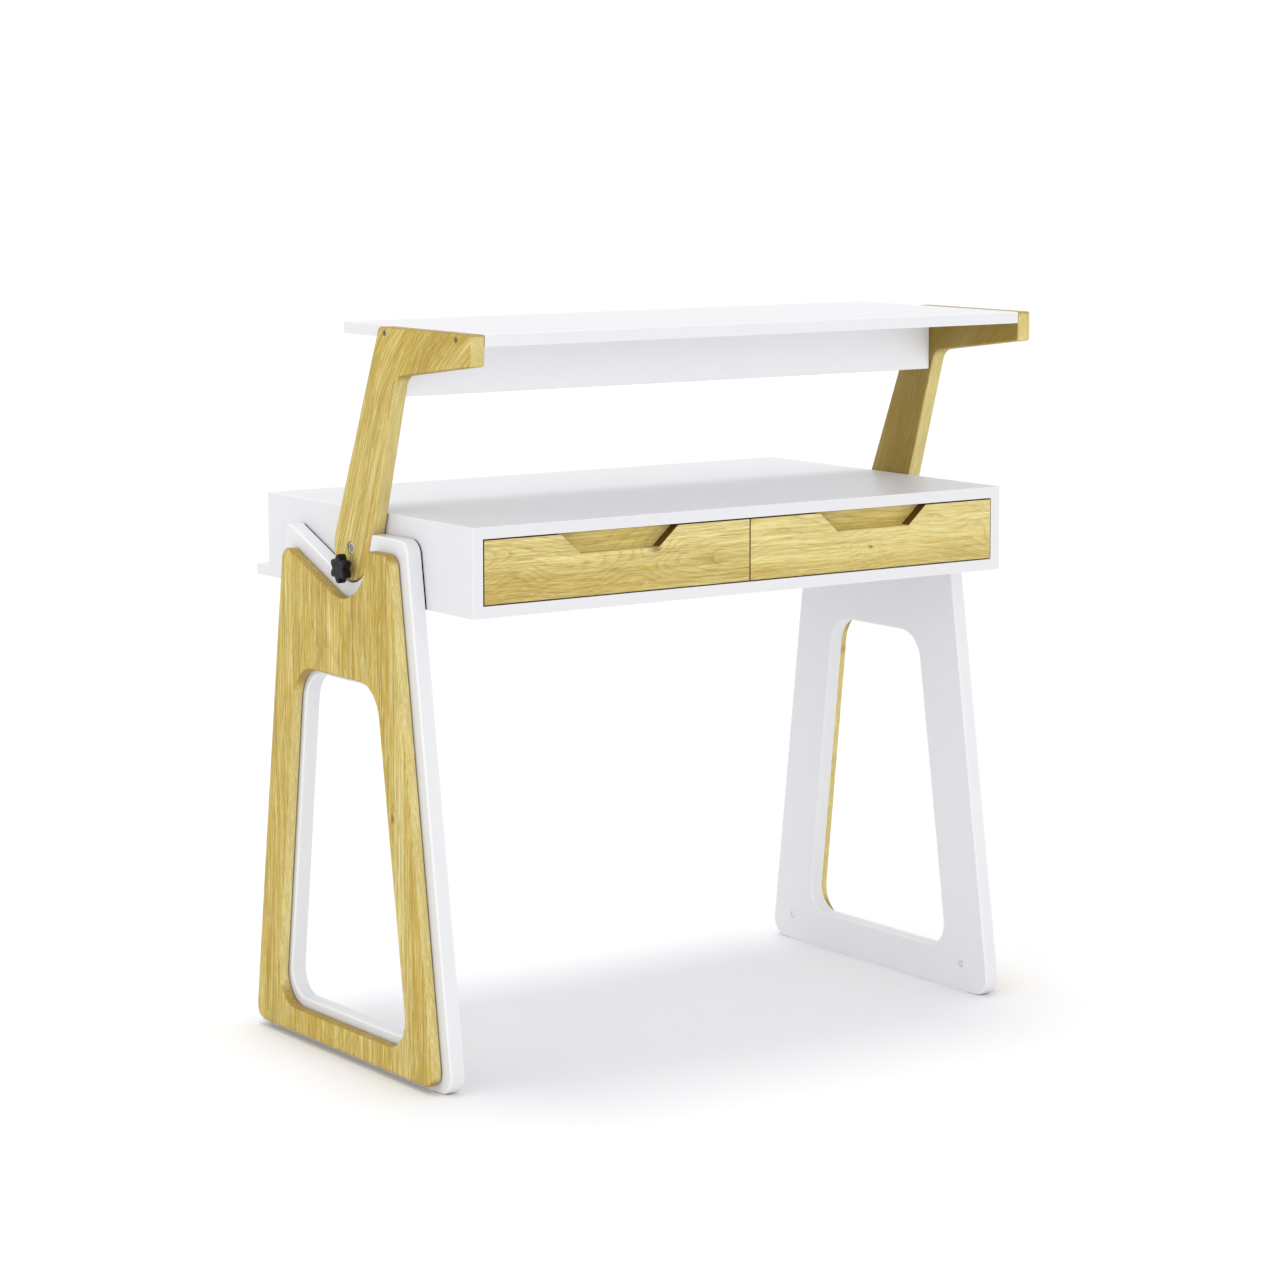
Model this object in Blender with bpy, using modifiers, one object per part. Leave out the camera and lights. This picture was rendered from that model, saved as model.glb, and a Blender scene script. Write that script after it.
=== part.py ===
"""Writing desk with a monitor shelf that tilts back behind it.

Metres, +Z up. X runs along the desk (left is -X), -Y is the side the user sits at, and the
origin is on the floor under the middle of the desk.

A white board box with two oak-fronted drawers hangs between two white leg panels, each with an
oak facing outside it. Two oak arms carry a shelf and swing on bolts through the box sides, in
the same layer as the leg panels. A star knob on each side clamps its arm through a curved slot.
"""
import math

import bmesh
import bpy
from mathutils import Matrix, Vector

# ---- driving dimensions ---------------------------------------------------------------------
GAP = 0.0003                # clearance that touching pieces keep
BOARD = 0.018               # lacquered board of the box and the shelf
THICK_BOARD = 0.025         # leg panels and arms
EASED = 0.004               # radius of a board's tightest rounded corners
DRAWER_BOARD = 0.012        # drawer box sides, front and back
BOTTOM_BOARD = 0.005        # drawer bottom
ARC_STEP = math.radians(11)  # largest turn between two points of a rounded corner

DESK_WIDTH = 1.000
DESK_DEPTH = 0.600
DESK_TOP = 0.841
DESK_HEIGHT = 0.134
LEDGE = 0.038               # the bottom board runs on behind the box by this much

PIVOT_Z = 0.784             # the arms turn about this line, parallel to X at Y = 0
ARM_END_RADIUS = 0.050
NOTCH_PLAY = 0.002          # room between an arm and the notch it swings in
ARM_REAR_LEAN = math.radians(22.4)
ARM_FRONT_LEAN = math.radians(16.8)
SHELF_TOP = 1.122
SHELF_FRONT = -0.338
SHELF_REAR = 0.058
APRON_FRONT = -0.119
APRON_BOTTOM = 1.019

LEG_GAP = 0.002             # between a box side and the leg panel beside it
SPACER_INSET = 0.0012       # the spacer plate in that gap shows as a dark line round the leg
FACING_BOARD = 0.018
FACING_INSET = 0.022        # the facing is this much smaller than its leg panel

CLAMP_RADIUS = 0.030        # from the pivot to the clamping stud
DRAWER_GAP = 0.0013         # around a drawer front
RUNNER_SPACE = 0.013        # beside a drawer box, for its runner
RUNNER_LENGTH = 0.450
DRAWER_LENGTH = 0.500
PULL_TOP, PULL_BOTTOM, PULL_DEPTH = 0.212, 0.141, 0.031

# ---- places worked out from them ------------------------------------------------------------
HALF = DESK_WIDTH / 2
FRONT = -DESK_DEPTH / 2
REAR = DESK_DEPTH / 2
BOX_BOTTOM = DESK_TOP - DESK_HEIGHT
FLOOR_OF_BOX = BOX_BOTTOM + BOARD
ROOF_OF_BOX = DESK_TOP - BOARD
INSIDE = HALF - BOARD
LEG_IN = HALF + LEG_GAP
LEG_OUT = LEG_IN + THICK_BOARD
FACING_IN = LEG_OUT + GAP
FACING_OUT = FACING_IN + FACING_BOARD
SHELF_UNDER = SHELF_TOP - BOARD
SHELF_HALF = LEG_IN - GAP
PIVOT = Vector((0.0, PIVOT_Z))
SIDES = {"left": -1, "right": 1}

# A flat outline is drawn in the plane across the named axis, and given its thickness along it.
PLANES = {
    "X": Matrix(((0, 0, 1, 0), (1, 0, 0, 0), (0, 1, 0, 0), (0, 0, 0, 1))),
    "Y": Matrix(((1, 0, 0, 0), (0, 0, -1, 0), (0, 1, 0, 0), (0, 0, 0, 1))),
}


# ---- scene ----------------------------------------------------------------------------------
def clear_scene():
    for obj in list(bpy.data.objects):
        bpy.data.objects.remove(obj, do_unlink=True)


def new_collection(name):
    collection = bpy.data.collections.new(name)
    bpy.context.scene.collection.children.link(collection)
    return collection


def new_material(name, colour, roughness, metallic=0.0):
    material = bpy.data.materials.new(name)
    material.use_nodes = True
    shader = material.node_tree.nodes["Principled BSDF"]
    shader.inputs["Base Color"].default_value = (*colour, 1.0)
    shader.inputs["Roughness"].default_value = roughness
    shader.inputs["Metallic"].default_value = metallic
    return material


# ---- shapes ---------------------------------------------------------------------------------
def add_piece(name, mesh, material, matrix=None):
    """Link a mesh as one named piece of the desk."""
    piece = bpy.data.objects.new(name, mesh)
    if matrix is not None:
        piece.matrix_world = matrix
    mesh.materials.append(material)
    parts.objects.link(piece)
    return piece


def add_cutter(name, mesh, matrix=None):
    cutter = bpy.data.objects.new(name, mesh)
    if matrix is not None:
        cutter.matrix_world = matrix
    cutter.hide_render = True
    cutter.display_type = "WIRE"
    cutters.objects.link(cutter)
    return cutter


def box_mesh(name, low, high):
    """A box as a mesh about its own centre, and the matrix that places it."""
    low, high = Vector(low), Vector(high)
    shape = bmesh.new()
    bmesh.ops.create_cube(shape, size=1.0, matrix=Matrix.Diagonal((*(high - low), 1.0)))
    mesh = bpy.data.meshes.new(name)
    shape.to_mesh(mesh)
    shape.free()
    return mesh, Matrix.Translation((low + high) / 2)


def add_box(name, low, high, material):
    mesh, matrix = box_mesh(name, low, high)
    return add_piece(name, mesh, material, matrix)


def plate_mesh(name, rings, low, high, axis):
    """An outline and its holes, made a solid that runs from low to high along the axis."""
    curve = bpy.data.curves.new(name, "CURVE")
    curve.dimensions = "2D"
    curve.fill_mode = "BOTH"
    curve.extrude = (high - low) / 2
    for ring in rings:
        spline = curve.splines.new("POLY")
        spline.points.add(len(ring) - 1)
        for point, (u, v) in zip(spline.points, ring):
            point.co = (u, v, 0.0, 1.0)
        spline.use_cyclic_u = True
    middle = (low + high) / 2
    along = -middle if axis == "Y" else middle
    guide = bpy.data.objects.new(name, curve)
    guide.matrix_world = PLANES[axis] @ Matrix.Translation((0.0, 0.0, along))
    bpy.context.scene.collection.objects.link(guide)
    graph = bpy.context.evaluated_depsgraph_get()
    mesh = bpy.data.meshes.new_from_object(guide.evaluated_get(graph))
    shape = bmesh.new()
    shape.from_mesh(mesh)
    bmesh.ops.remove_doubles(shape, verts=shape.verts, dist=0.00001)
    shape.to_mesh(mesh)
    shape.free()
    matrix = guide.matrix_world.copy()
    bpy.data.objects.remove(guide, do_unlink=True)
    bpy.data.curves.remove(curve)
    mesh.materials.clear()
    mesh.shade_smooth()
    mesh.set_sharp_from_angle(angle=math.radians(35))
    return mesh, matrix


def add_plate(name, rings, low, high, axis, material):
    mesh, matrix = plate_mesh(name, rings, low, high, axis)
    return add_piece(name, mesh, material, matrix)


def turned_mesh(name, profile, closed):
    """The half section (radius, height) of a turned piece, from its top down its outer side."""
    mesh = bpy.data.meshes.new(name)
    edges = [(i, i + 1) for i in range(len(profile) - 1)]
    if closed:
        edges.append((len(profile) - 1, 0))
    mesh.from_pydata([(radius, 0.0, height) for radius, height in profile], edges, [])
    return mesh


def spin(obj, steps):
    screw = obj.modifiers.new("Spin", "SCREW")
    screw.steps = steps
    screw.render_steps = steps
    screw.use_merge_vertices = True
    screw.merge_threshold = 0.00001
    screw.use_smooth_shade = True


def side_matrix(side, y, z):
    """Local +Z points away from the middle of the desk, so heights are distances from it."""
    return Matrix.Translation((0.0, y, z)) @ Matrix.Rotation(side * math.pi / 2, 4, "Y")


def add_turned(name, profile, side, y, z, material, closed=False, steps=20):
    mesh = turned_mesh(name, profile, closed)
    piece = add_piece(name, mesh, material, side_matrix(side, y, z))
    spin(piece, steps)
    return piece


def cut(piece, cutter):
    hole = piece.modifiers.new(cutter.name, "BOOLEAN")
    hole.operation = "DIFFERENCE"
    hole.object = cutter


def cut_turned(pieces, name, profile, side, y, z, steps=20):
    cutter = add_cutter(name, turned_mesh(name, profile, False), side_matrix(side, y, z))
    spin(cutter, steps)
    for piece in pieces:
        cut(piece, cutter)


def cut_box(pieces, name, low, high):
    mesh, matrix = box_mesh(name, low, high)
    cutter = add_cutter(name, mesh, matrix)
    for piece in pieces:
        cut(piece, cutter)


# ---- outlines -------------------------------------------------------------------------------
def arc(centre, radius, start, sweep, step=ARC_STEP):
    """Points along a round stretch, both of its ends included."""
    count = max(2, math.ceil(abs(sweep) / step))
    angles = (start + sweep * i / count for i in range(count + 1))
    return [(centre[0] + radius * math.cos(a), centre[1] + radius * math.sin(a)) for a in angles]


def circle(centre, radius, steps=24):
    return arc(centre, radius, 0.0, 2 * math.pi, 2 * math.pi / steps)[:-1]


def rounded(corners):
    """An outline from corners (u, v, radius); a radius of 0 keeps the corner sharp."""
    points = []
    for i, (u, v, radius) in enumerate(corners):
        corner = Vector((u, v))
        if radius == 0:
            points.append((u, v))
            continue
        back = (Vector(corners[i - 1][:2]) - corner).normalized()
        ahead = (Vector(corners[(i + 1) % len(corners)][:2]) - corner).normalized()
        half = back.angle(ahead) / 2
        centre = corner + (back + ahead).normalized() * radius / math.sin(half)
        first = corner + back * radius / math.tan(half) - centre
        last = corner + ahead * radius / math.tan(half) - centre
        start = math.atan2(first.y, first.x)
        turn = math.atan2(last.y, last.x) - start
        sweep = (turn + math.pi) % (2 * math.pi) - math.pi
        points.extend(arc(centre, radius, start, sweep))
    return points


def line(through, normal, inset=0.0):
    """A straight edge as (unit outward normal, distance), moved inwards by the inset."""
    unit = Vector(normal).normalized()
    return unit, unit.dot(Vector(through)) - inset


def tangent(angle, distance):
    """The edge whose normal has this angle and which passes the pivot at this distance."""
    unit = Vector((math.cos(angle), math.sin(angle)))
    return unit, unit.dot(PIVOT) + distance


def meet(first, second):
    """The point where two edges cross."""
    (a, p), (b, q) = first, second
    det = a.x * b.y - a.y * b.x
    return (p * b.y - q * a.y) / det, (a.x * q - b.x * p) / det


def corner(first, second, radius=0.0):
    return (*meet(first, second), radius)


def sharp(points):
    return [(u, v, 0.0) for u, v in points]


# Angles of the edges that stop the arms, seen from the pivot. The front one faces the arm's
# front edge at rest, and the other faces the arm's rear edge once it has turned back by 90
# degrees.
FRONT_STOP = math.pi + ARM_FRONT_LEAN
REAR_STOP = ARM_REAR_LEAN - math.pi / 2

# Outer edges of a leg panel, as points and outward normals, in the plane across X.
LEG_EDGES = {
    "front": ((-0.2813, 0.0), (-1.0, 0.150)),
    "rear": ((0.2968, 0.0), (1.0, 0.127)),
    "top": ((0.0, 0.810), (0.0, 1.0)),
}
OPENING_EDGES = {
    "front": ((-0.1584, 0.159), (-1.0, 0.155)),
    "rear": ((0.1857, 0.128), (1.0, 0.119)),
}


def leg_outline(inset, foot, radii):
    """Tapering leg with a notch about the pivot; radii are foot, front top and rear top."""
    front, rear, top = (line(*LEG_EDGES[name], inset) for name in ("front", "rear", "top"))
    floor = (Vector((0.0, -1.0)), -foot)
    notch = ARM_END_RADIUS + NOTCH_PLAY + inset
    step = tangent(FRONT_STOP, notch)
    slope = tangent(REAR_STOP, notch)
    start = FRONT_STOP - 2 * math.pi
    bottom_of_notch = arc(PIVOT, notch, start, REAR_STOP - start)
    foot_radius, front_radius, rear_radius = radii
    return rounded([
        corner(floor, front, foot_radius),
        corner(front, top, front_radius),
        corner(top, step, EASED),
        *sharp(bottom_of_notch),
        corner(slope, rear, rear_radius),
        corner(rear, floor, foot_radius),
    ])


def opening_outline(growth, bottom, top_radius, bottom_radius, top=0.580):
    front = line(*OPENING_EDGES["front"], -growth)
    rear = line(*OPENING_EDGES["rear"], -growth)
    roof = (Vector((0.0, 1.0)), top + growth)
    sill = (Vector((0.0, -1.0)), -bottom)
    return rounded([
        corner(sill, rear, bottom_radius),
        corner(rear, roof, top_radius),
        corner(roof, front, top_radius),
        corner(front, sill, bottom_radius),
    ])


def arm_outline():
    """Round foot about the pivot, leaning shank, and a head that reaches out to the front."""
    rear = tangent(ARM_REAR_LEAN, ARM_END_RADIUS)
    front = tangent(FRONT_STOP, ARM_END_RADIUS)
    top = (Vector((0.0, 1.0)), SHELF_TOP)
    tip = (Vector((-1.0, 0.0)), -SHELF_FRONT)
    under = line((SHELF_FRONT, 1.076), (-0.128, -1.0))
    round_foot = arc(PIVOT, ARM_END_RADIUS, FRONT_STOP, ARM_REAR_LEAN + 2 * math.pi - FRONT_STOP)
    return rounded([
        *sharp(round_foot),
        corner(rear, top, 0.009),
        corner(top, tip, EASED),
        corner(tip, under, EASED),
        corner(under, front, 0.025),
    ])


# ---- fasteners ------------------------------------------------------------------------------
def screw_profile(head, tip, head_radius, head_height, shank_radius, socket_radius):
    """A headed screw: its head's face is at head and its point at tip, both along the axis."""
    return [
        (0.0, head - head_height / 2),
        (socket_radius, head - head_height / 2),
        (socket_radius, head),
        (head_radius, head),
        (head_radius, head - head_height),
        (shank_radius, head - head_height),
        (shank_radius, tip),
        (0.0, tip),
    ]


def screw_hole(head, tip, head_radius, head_height, shank_radius, mouth=0.004):
    """The stepped hole that the screw sits in, open beyond its head."""
    return [
        (0.0, head + mouth),
        (head_radius + 2 * GAP, head + mouth),
        (head_radius + 2 * GAP, head - head_height - GAP),
        (shank_radius + GAP, head - head_height - GAP),
        (shank_radius + GAP, tip - GAP),
        (0.0, tip - GAP),
    ]


def ring_profile(inner, outer, top, bottom):
    return [(inner, top), (outer, top), (outer, bottom), (inner, bottom)]


LEG_BOLTS = {"front": (-0.115, 0.775), "rear": (0.130, 0.762)}
LEG_BOLT_RADIUS, LEG_BOLT_HEAD, LEG_BOLT_HEIGHT = 0.003, 0.0065, 0.0035
LEG_BOLT_TIP = LEG_IN + 0.018
FACING_SCREWS = {"front": (-0.213, 0.045), "rear": (0.239, 0.043)}
PIVOT_HEAD, PIVOT_HEAD_HEIGHT, PIVOT_SHANK = 0.0093, 0.005, 0.005
PIVOT_FACE = LEG_OUT - 0.0015
STUD_RADIUS = 0.004
NUT_RADIUS, NUT_HEIGHT = 0.009, 0.006
NUT_TOP = INSIDE - GAP
STUD_END = NUT_TOP - NUT_HEIGHT - 0.001
STUD_Y, STUD_Z = 0.0, PIVOT_Z - CLAMP_RADIUS
SHELF_SCREWS = {"front": -0.300, "rear": -0.103}
KNOB_IN = LEG_OUT + 0.0065
KNOB_STAR_IN = LEG_OUT + 0.010
KNOB_OUT = LEG_OUT + 0.024
KNOB_RADIUS = 0.0222
KNOB_LOBES = 6


def clamp_slot():
    """The quarter-circle slot that the clamping stud travels along, from below the pivot to
    in front of it."""
    play = STUD_RADIUS + 0.0008
    coarse = 2.5 * ARC_STEP
    outer = arc(PIVOT, CLAMP_RADIUS + play, -math.pi, math.pi / 2)
    low_end = arc((STUD_Y, STUD_Z), play, -math.pi / 2, math.pi, coarse)[1:-1]
    inner = arc(PIVOT, CLAMP_RADIUS - play, -math.pi / 2, -math.pi / 2)
    high_end = arc((-CLAMP_RADIUS, PIVOT_Z), play, 0.0, math.pi, coarse)[1:-1]
    return outer + low_end + inner + high_end


# ---- sub-parts ------------------------------------------------------------------------------
def build_box():
    """Top, bottom with its rear ledge, back and the partition between the drawers."""
    wall_low, wall_high = FLOOR_OF_BOX + GAP, ROOF_OF_BOX - GAP
    within = INSIDE - GAP
    add_box("carcass_top", (-HALF, FRONT, ROOF_OF_BOX), (HALF, REAR, DESK_TOP), lacquer)
    add_box("carcass_bottom", (-HALF, FRONT, BOX_BOTTOM), (HALF, REAR + LEDGE, FLOOR_OF_BOX), lacquer)
    add_box("carcass_back", (-within, REAR - BOARD, wall_low), (within, REAR, wall_high), lacquer)
    add_box("carcass_divider", (-BOARD / 2, FRONT + BOARD + GAP, wall_low),
            (BOARD / 2, REAR - BOARD - GAP, wall_high), lacquer)
    for name, side in SIDES.items():
        low, high = sorted((side * INSIDE, side * HALF))
        wall = rounded([
            (FRONT, wall_low, 0.0),
            (REAR, wall_low, 0.0),
            (REAR, wall_high, 0.0),
            (FRONT, wall_high, 0.0),
        ])
        holes = [circle(PIVOT, PIVOT_SHANK + GAP), clamp_slot()]
        holes += [circle(place, LEG_BOLT_RADIUS + GAP, 16) for place in LEG_BOLTS.values()]
        add_plate("carcass_side_" + name, [wall, *holes], low, high, "X", lacquer)


def spacer_outline():
    """Thin black plate that fills the gap behind a leg panel, and stays behind the arm's foot."""
    hidden = ARM_END_RADIUS - 0.004
    front, rear, top = (line(*LEG_EDGES[name], SPACER_INSET) for name in ("front", "rear", "top"))
    bottom = (Vector((0.0, -1.0)), -BOX_BOTTOM - SPACER_INSET)
    under = ARM_END_RADIUS + NOTCH_PLAY + SPACER_INSET
    step = tangent(FRONT_STOP, under)
    slope = tangent(REAR_STOP, under)
    step_foot = PIVOT + step[0] * under
    slope_foot = PIVOT + slope[0] * under
    over_pivot = arc(PIVOT, hidden, FRONT_STOP, REAR_STOP - FRONT_STOP)
    return rounded([
        corner(bottom, front, 0.002),
        corner(front, top, 0.023),
        corner(top, step),
        (*step_foot, 0.0),
        *sharp(over_pivot),
        (*slope_foot, 0.0),
        corner(slope, rear, 0.011),
        corner(rear, bottom, 0.002),
    ])


def build_legs():
    """Leg panels, oak facings, the spacer plates and the fasteners that hold them."""
    for name, side in SIDES.items():
        low, high = sorted((side * LEG_IN, side * LEG_OUT))
        panel = add_plate(
            "leg_panel_" + name,
            [leg_outline(0.0, 0.0, (0.030, 0.024, 0.012)), opening_outline(0.0, 0.0625, 0.050, 0.040)],
            low, high, "X", lacquer)
        low, high = sorted((side * FACING_IN, side * FACING_OUT))
        facing = add_plate(
            "leg_facing_" + name,
            [leg_outline(FACING_INSET, 0.010, (0.022, 0.022, 0.018)),
             opening_outline(0.0085, 0.0495, 0.058, 0.048)],
            low, high, "X", oak)
        low, high = sorted((side * (HALF + GAP), side * (LEG_IN - GAP)))
        holes = [circle(PIVOT, PIVOT_SHANK + GAP), clamp_slot()]
        holes += [circle(place, LEG_BOLT_RADIUS + GAP, 16) for place in LEG_BOLTS.values()]
        add_plate("leg_spacer_" + name, [spacer_outline(), *holes], low, high, "X", black)
        for place, (y, z) in LEG_BOLTS.items():
            end = name + "_" + place
            head, tip = INSIDE - GAP - LEG_BOLT_HEIGHT, LEG_BOLT_TIP
            sizes = (LEG_BOLT_HEAD, LEG_BOLT_HEIGHT, LEG_BOLT_RADIUS)
            add_turned("leg_bolt_" + end, screw_profile(-head, -tip, *sizes, 0.002),
                       -side, y, z, steel, steps=16)
            cut_turned([panel], "cut_leg_bolt_" + end, screw_hole(-head, -tip, *sizes),
                       -side, y, z, steps=16)
        for place, (y, z) in FACING_SCREWS.items():
            end = name + "_" + place
            head, tip = LEG_IN + 0.0005, FACING_IN + 0.012
            sizes = (0.0053, 0.002, 0.002)
            add_turned("facing_screw_" + end, screw_profile(-head, -tip, *sizes, 0.002),
                       -side, y, z, cap, steps=16)
            cut_turned([panel, facing], "cut_facing_screw_" + end, screw_hole(-head, -tip, *sizes),
                       -side, y, z, steps=16)


def build_pivots():
    """The bolt that each arm turns on, with its nut inside the box."""
    for name, side in SIDES.items():
        bolt = screw_profile(PIVOT_FACE, STUD_END, PIVOT_HEAD, PIVOT_HEAD_HEIGHT, PIVOT_SHANK, 0.0035)
        add_turned("pivot_bolt_" + name, bolt, side, *PIVOT, chrome, steps=24)
        nut = ring_profile(PIVOT_SHANK + GAP, NUT_RADIUS, NUT_TOP, NUT_TOP - NUT_HEIGHT)
        add_turned("pivot_nut_" + name, nut, side, *PIVOT, steel, closed=True)


def build_shelf():
    """Shelf, apron and the two arms, all of which turn together about the pivot."""
    board = add_box("shelf_board", (-SHELF_HALF, SHELF_FRONT, SHELF_UNDER),
                    (SHELF_HALF, SHELF_REAR, SHELF_TOP), lacquer)
    apron = add_box("shelf_apron", (-SHELF_HALF, APRON_FRONT, APRON_BOTTOM),
                    (SHELF_HALF, APRON_FRONT + BOARD, SHELF_UNDER - GAP), lacquer)
    pieces = [board, apron]
    for name, side in SIDES.items():
        low, high = sorted((side * LEG_IN, side * LEG_OUT))
        arm = add_plate("arm_" + name, [arm_outline()], low, high, "X", oak)
        pieces.append(arm)
        bolt_hole = screw_hole(PIVOT_FACE, LEG_IN - 0.005, PIVOT_HEAD, PIVOT_HEAD_HEIGHT, PIVOT_SHANK)
        cut_turned([arm], "cut_pivot_bolt_" + name, bolt_hole, side, *PIVOT, steps=24)
        stud_hole = [(0.0, LEG_OUT + 0.005), (STUD_RADIUS + GAP, LEG_OUT + 0.005),
                     (STUD_RADIUS + GAP, LEG_IN - 0.005), (0.0, LEG_IN - 0.005)]
        cut_turned([arm], "cut_clamp_stud_" + name, stud_hole, side, STUD_Y, STUD_Z)
        for place, y in SHELF_SCREWS.items():
            end = name + "_" + place
            z = SHELF_TOP - BOARD / 2
            head, tip = LEG_OUT - 0.0003, SHELF_HALF - 0.030
            sizes = (0.004, 0.003, 0.0025)
            pieces.append(add_turned("shelf_screw_" + end, screw_profile(head, tip, *sizes, 0.0015),
                                     side, y, z, steel, steps=16))
            cut_turned([arm, board], "cut_shelf_screw_" + end, screw_hole(head, tip, *sizes),
                       side, y, z, steps=16)
        nut = ring_profile(STUD_RADIUS + GAP, NUT_RADIUS, NUT_TOP, NUT_TOP - NUT_HEIGHT)
        pieces.append(add_turned("clamp_nut_" + name, nut, side, STUD_Y, STUD_Z, steel, closed=True))
    return pieces


def star_outline(centre, points_per_lobe=10):
    """Star of rounded lobes, one of them pointing up."""
    points = []
    count = KNOB_LOBES * points_per_lobe
    for i in range(count):
        angle = 2 * math.pi * i / count
        wave = math.cos(KNOB_LOBES * (angle - math.pi / 2))
        radius = KNOB_RADIUS - 0.0030 * (1 - wave) + 0.0004 * (1 - wave * wave)
        points.append((centre[0] + radius * math.cos(angle), centre[1] + radius * math.sin(angle)))
    return points


def build_knob(name, side):
    """Star knob with its hub, and the steel stud moulded into it."""
    low, high = sorted((side * KNOB_STAR_IN, side * KNOB_OUT))
    knob = add_plate("knob_" + name, [star_outline((STUD_Y, STUD_Z))], low, high, "X", black)
    hub_top = KNOB_STAR_IN + 0.004
    hub_profile = [(0.0, hub_top), (0.0100, hub_top), (0.0085, KNOB_IN), (0.0, KNOB_IN)]
    hub = add_cutter("join_knob_hub_" + name, turned_mesh("hub_" + name, hub_profile, False),
                     side_matrix(side, STUD_Y, STUD_Z))
    spin(hub, 24)
    join = knob.modifiers.new("Hub", "BOOLEAN")
    join.operation = "UNION"
    join.object = hub
    bore = [(0.0, KNOB_STAR_IN + 0.0085), (STUD_RADIUS + GAP, KNOB_STAR_IN + 0.0085),
            (STUD_RADIUS + GAP, KNOB_IN - 0.002), (0.0, KNOB_IN - 0.002)]
    cut_turned([knob], "cut_knob_bore_" + name, bore, side, STUD_Y, STUD_Z)
    stud = [(0.0, KNOB_STAR_IN + 0.008), (STUD_RADIUS, KNOB_STAR_IN + 0.008),
            (STUD_RADIUS, KNOB_IN - GAP), (0.0068, KNOB_IN - GAP), (0.0068, LEG_OUT + GAP),
            (STUD_RADIUS, LEG_OUT + GAP), (STUD_RADIUS, STUD_END), (0.0, STUD_END)]
    return [knob, add_turned("knob_stud_" + name, stud, side, STUD_Y, STUD_Z, steel)]


def pull_outline(low, high, bottom, top):
    """Drawer front with a tapered finger cut-out in the middle of its top edge."""
    middle = (low + high) / 2
    return rounded([
        (low, bottom, 0.0),
        (high, bottom, 0.0),
        (high, top, 0.0),
        (middle + PULL_TOP / 2, top, 0.0),
        (middle + PULL_BOTTOM / 2, top - PULL_DEPTH, 0.004),
        (middle - PULL_BOTTOM / 2, top - PULL_DEPTH, 0.004),
        (middle - PULL_TOP / 2, top, 0.0),
        (low, top, 0.0),
    ])


def channel_outline(x, side, z):
    """Section of a cabinet runner: a C that opens away from the wall at x."""
    web, lip, reach, half = 0.0012, 0.0030, 0.0095, 0.0085
    section = [(GAP, -half), (reach, -half), (reach, lip - half), (reach - web, lip - half),
               (reach - web, web - half), (GAP + web, web - half)]
    mirrored = [(u, -v) for u, v in reversed(section)]
    return [(x + side * u, z + v) for u, v in section + mirrored]


def slider_outline(x, side, z):
    """Section of a drawer runner: a T inside the channel, with a foot on the drawer side."""
    section = [(0.0022, -0.0062), (0.0075, -0.0062), (0.0075, -0.0040), (0.0115, -0.0040),
               (0.0115, -0.0075), (RUNNER_SPACE - GAP, -0.0075)]
    mirrored = [(u, -v) for u, v in reversed(section)]
    return [(x + side * u, z + v) for u, v in section + mirrored]


def build_drawer(name, side):
    """One drawer and its two runners. Side is -1 for the left drawer and 1 for the right."""
    near, far = BOARD / 2, INSIDE
    bottom = FLOOR_OF_BOX + DRAWER_GAP + GAP
    top = ROOF_OF_BOX - DRAWER_GAP - GAP
    low, high = sorted((side * DRAWER_GAP / 2, side * (INSIDE - DRAWER_GAP)))
    front = add_plate("drawer_front_" + name, [pull_outline(low, high, bottom, top)],
                      FRONT, FRONT + BOARD, "Y", oak)
    outer, inner = far - RUNNER_SPACE, near + RUNNER_SPACE
    base, rim, face = FLOOR_OF_BOX + 0.004, ROOF_OF_BOX - 0.018, ROOF_OF_BOX - 0.0025
    start = FRONT + BOARD + GAP
    end = start + DRAWER_LENGTH
    walls_from = start + DRAWER_BOARD + GAP
    low, high = sorted((side * inner, side * outer))
    face_board = add_box("drawer_face_" + name, (low, start, base),
                         (high, start + DRAWER_BOARD, face), oak)
    wall_out = add_box("drawer_wall_outer_" + name,
                       (min(side * outer, side * (outer - DRAWER_BOARD)), walls_from, base),
                       (max(side * outer, side * (outer - DRAWER_BOARD)), end, rim), ply)
    wall_in = add_box("drawer_wall_inner_" + name,
                      (min(side * inner, side * (inner + DRAWER_BOARD)), walls_from, base),
                      (max(side * inner, side * (inner + DRAWER_BOARD)), end, rim), ply)
    within_low, within_high = low + DRAWER_BOARD + GAP, high - DRAWER_BOARD - GAP
    back = add_box("drawer_back_" + name, (within_low, end - DRAWER_BOARD, base),
                   (within_high, end, rim), ply)
    groove, floor_low = 0.005, base + 0.007
    floor_box = ((within_low - groove, start + DRAWER_BOARD - groove, floor_low),
                 (within_high + groove, end - DRAWER_BOARD + groove, floor_low + BOTTOM_BOARD))
    floor = add_box("drawer_bottom_" + name, *floor_box, ply)
    cut_box([face_board, wall_out, wall_in, back], "cut_drawer_bottom_" + name,
            [value - GAP for value in floor_box[0]], [value + GAP for value in floor_box[1]])
    moving = [front, face_board, wall_out, wall_in, back, floor]
    runner_z = FLOOR_OF_BOX + 0.0100
    runner_end = start + 0.020 + RUNNER_LENGTH
    for place, wall, way in (("outer", side * far, -side), ("inner", side * near, side)):
        add_plate("runner_channel_" + place + "_" + name, [channel_outline(wall, way, runner_z)],
                  start + 0.020, runner_end, "Y", steel)
        moving.append(add_plate("runner_slider_" + place + "_" + name,
                                [slider_outline(wall, way, runner_z)],
                                start + 0.020, runner_end, "Y", steel))
    return moving


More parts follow.
